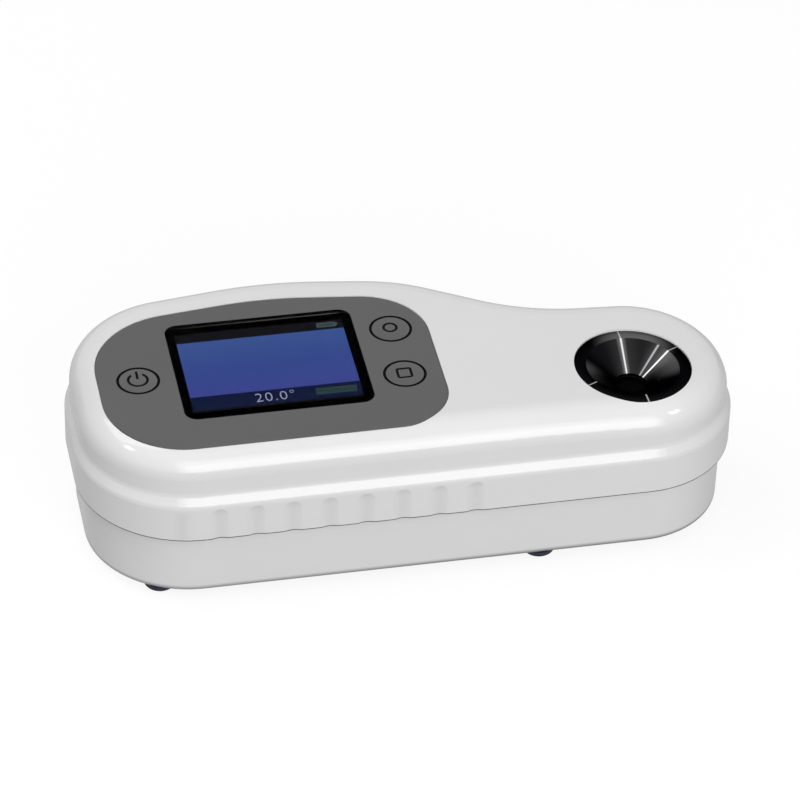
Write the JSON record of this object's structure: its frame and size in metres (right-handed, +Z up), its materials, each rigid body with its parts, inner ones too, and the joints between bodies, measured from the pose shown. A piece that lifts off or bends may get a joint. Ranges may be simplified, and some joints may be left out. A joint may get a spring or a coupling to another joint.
{
  "type": "digital refractometer",
  "caption": "Handheld digital refractometer that rests on a bench, with a colour display, push keys and a round steel sample well.",
  "frame": {"origin": "on the bench, at the middle of the case's box", "axes": "+X along the instrument towards the sample well, +Y away from the user, +Z up"},
  "size_m": [0.176, 0.0788, 0.0474],
  "materials": {
    "white_case": "glossy moulded",
    "overlay_grey": "fine matt print",
    "clear_window": "clear, polished",
    "window_mask": "matt black",
    "display_glass": "lit colour display",
    "light_guide": "white",
    "frame_black": "moulded",
    "flex_film": "amber film",
    "circuit_board": "green solder mask",
    "chip_black": "moulded",
    "socket_white": "moulded",
    "switch_metal": "stamped",
    "switch_plunger": "moulded",
    "key_cap": "fine matt with printed symbol",
    "screw_steel": "zinc plated",
    "foot_rubber": "soft, blue black",
    "seal_rubber": "soft, black",
    "tray_white": "moulded",
    "cell_jacket": "plain jacket",
    "contact_steel": "nickel plated",
    "lead_sleeve": "soft sleeve",
    "well_steel": "turned",
    "optic_glass": "polished",
    "optics_black": "black anodised",
    "lamp_clear": "clear cast",
    "probe_brass": "turned",
    "ribbon_grey": "flat ribbon"
  },
  "bodies": {
    "case": {"upper_cover": "white_case", "lower_case": "white_case", "case_screws": "screw_steel", "foot_front_left": "foot_rubber", "foot_front_right": "foot_rubber", "foot_back_left": "foot_rubber", "foot_back_right": "foot_rubber", "overlay": "overlay_grey", "display_window": "clear_window", "display_mask": "window_mask", "display_panel": "display_glass", "display_backlight": "light_guide", "display_frame": "frame_black", "display_flex": "flex_film", "main_board": "circuit_board", "board_screws": "screw_steel", "processor": "chip_black", "ribbon_socket": "socket_white", "lead_socket": "socket_white", "power_switch": "switch_metal", "zero_switch": "switch_metal", "read_switch": "switch_metal", "battery_tray": "tray_white", "battery_cell_1": "cell_jacket", "battery_cell_2": "cell_jacket", "battery_cell_3": "cell_jacket", "contact_plates": "contact_steel", "contact_leaves": "contact_steel", "battery_leads": "lead_sleeve", "edge_strip": "seal_rubber", "sample_well": "well_steel", "well_seal": "seal_rubber", "prism_gasket": "seal_rubber", "prism": "optic_glass", "optics_block": "optics_black", "optics_screws": "screw_steel", "temperature_probe": "probe_brass", "lamp_lens": "optic_glass", "sensor_lens": "optic_glass", "lamp_board": "circuit_board", "sensor_board": "circuit_board", "lamp": "lamp_clear", "line_sensor": "chip_black", "sensor_ribbon": "ribbon_grey"},
    "power_key": {"power_key": "key_cap", "power_plunger": "switch_plunger"},
    "zero_key": {"zero_key": "key_cap", "zero_plunger": "switch_plunger"},
    "read_key": {"read_key": "key_cap", "read_plunger": "switch_plunger"},
    "battery_door": {"battery_door": "white_case"}
  },
  "joints": [
    {"name": "power_press", "type": "slide", "parent": "case", "child": "power_key", "axis": [0, 0, -1], "range_m": [0, 0.0004], "stiffness_N_per_m": 4500},
    {"name": "zero_press", "type": "slide", "parent": "case", "child": "zero_key", "axis": [0, 0, -1], "range_m": [0, 0.0004], "stiffness_N_per_m": 4500},
    {"name": "read_press", "type": "slide", "parent": "case", "child": "read_key", "axis": [0, 0, -1], "range_m": [0, 0.0004], "stiffness_N_per_m": 4500},
    {"name": "battery_door_hinge", "type": "hinge", "parent": "case", "child": "battery_door", "pos_m": [-0.034, 0.015, 0.002], "axis": [1, 0, 0], "range_deg": [0, 75]}
  ]
}
